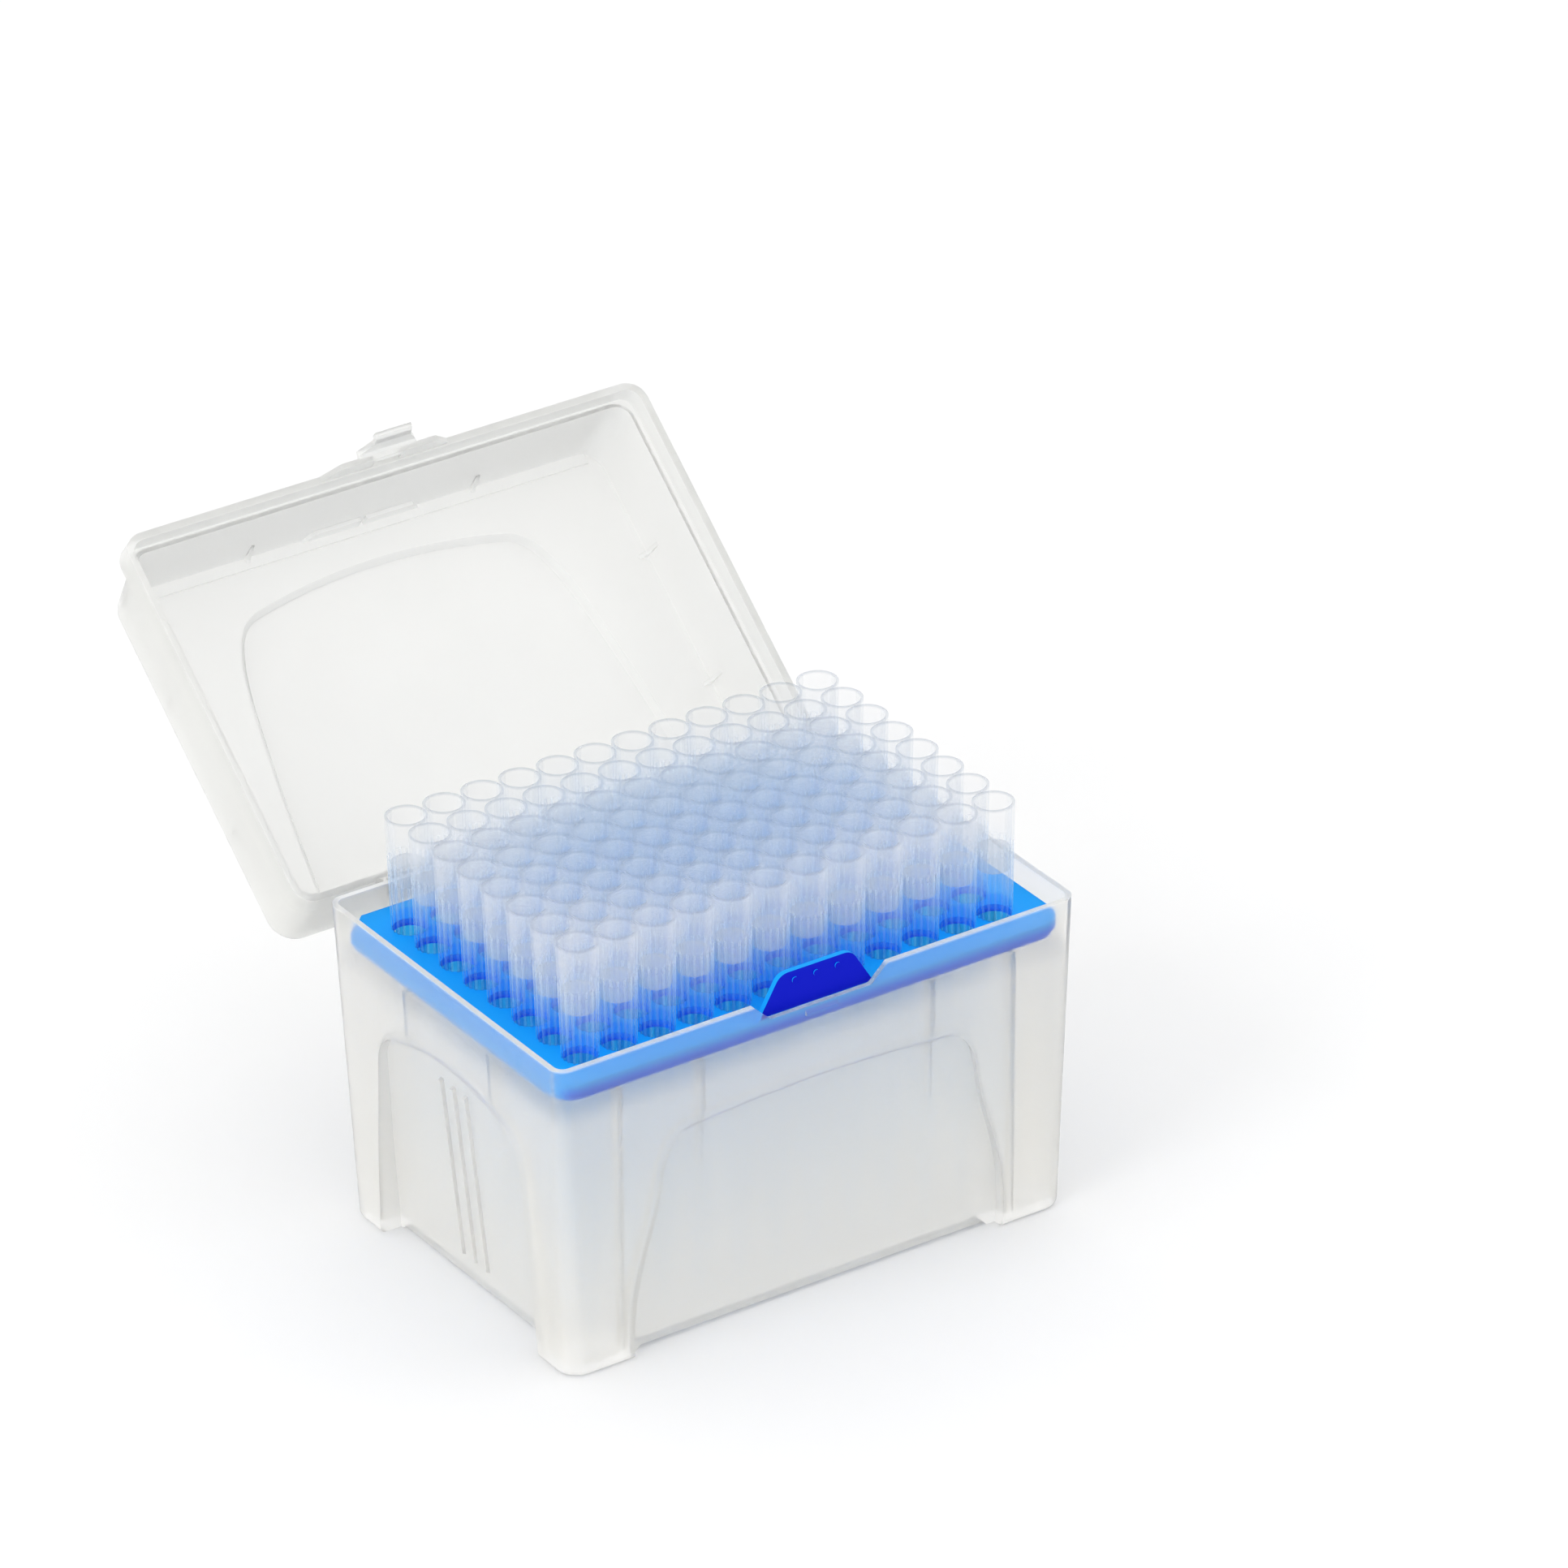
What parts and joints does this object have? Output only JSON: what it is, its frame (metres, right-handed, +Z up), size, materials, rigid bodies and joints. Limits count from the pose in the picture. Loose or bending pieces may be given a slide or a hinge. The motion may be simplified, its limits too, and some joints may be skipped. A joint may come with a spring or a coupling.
{
  "type": "pipette tip box",
  "caption": "Open hinged translucent box with a perforated rack full of upright filter pipette tips and a latch tab on the lid.",
  "frame": {"origin": "centre of the base's footprint, at table height under the feet", "axes": "+X along the long side of the box, +Y from the latch side to the hinge, +Z up"},
  "size_m": [0.126, 0.1732, 0.1313],
  "materials": {
    "box_plastic": "frosted natural polypropylene",
    "rack_plastic": "smooth moulded blue polypropylene",
    "tip_plastic": "clear polished polypropylene",
    "filter_fibre": "porous sintered polyethylene"
  },
  "bodies": {
    "base": {"base_box": "box_plastic", "tip_rack": "rack_plastic", "tip_column_01": "tip_plastic", "tip_column_02": "tip_plastic", "tip_column_03": "tip_plastic", "tip_column_04": "tip_plastic", "tip_column_05": "tip_plastic", "tip_column_06": "tip_plastic", "tip_column_07": "tip_plastic", "tip_column_08": "tip_plastic", "tip_column_09": "tip_plastic", "tip_column_10": "tip_plastic", "tip_column_11": "tip_plastic", "tip_column_12": "tip_plastic", "filter_column_01": "filter_fibre", "filter_column_02": "filter_fibre", "filter_column_03": "filter_fibre", "filter_column_04": "filter_fibre", "filter_column_05": "filter_fibre", "filter_column_06": "filter_fibre", "filter_column_07": "filter_fibre", "filter_column_08": "filter_fibre", "filter_column_09": "filter_fibre", "filter_column_10": "filter_fibre", "filter_column_11": "filter_fibre", "filter_column_12": "filter_fibre"},
    "lid": {"lid": "box_plastic"}
  },
  "joints": [
    {"name": "lid_hinge", "type": "hinge", "parent": "base", "child": "lid", "pos_m": [0, 0.0465, 0.068], "axis": [1, 0, 0], "range_deg": [0, 140]}
  ]
}
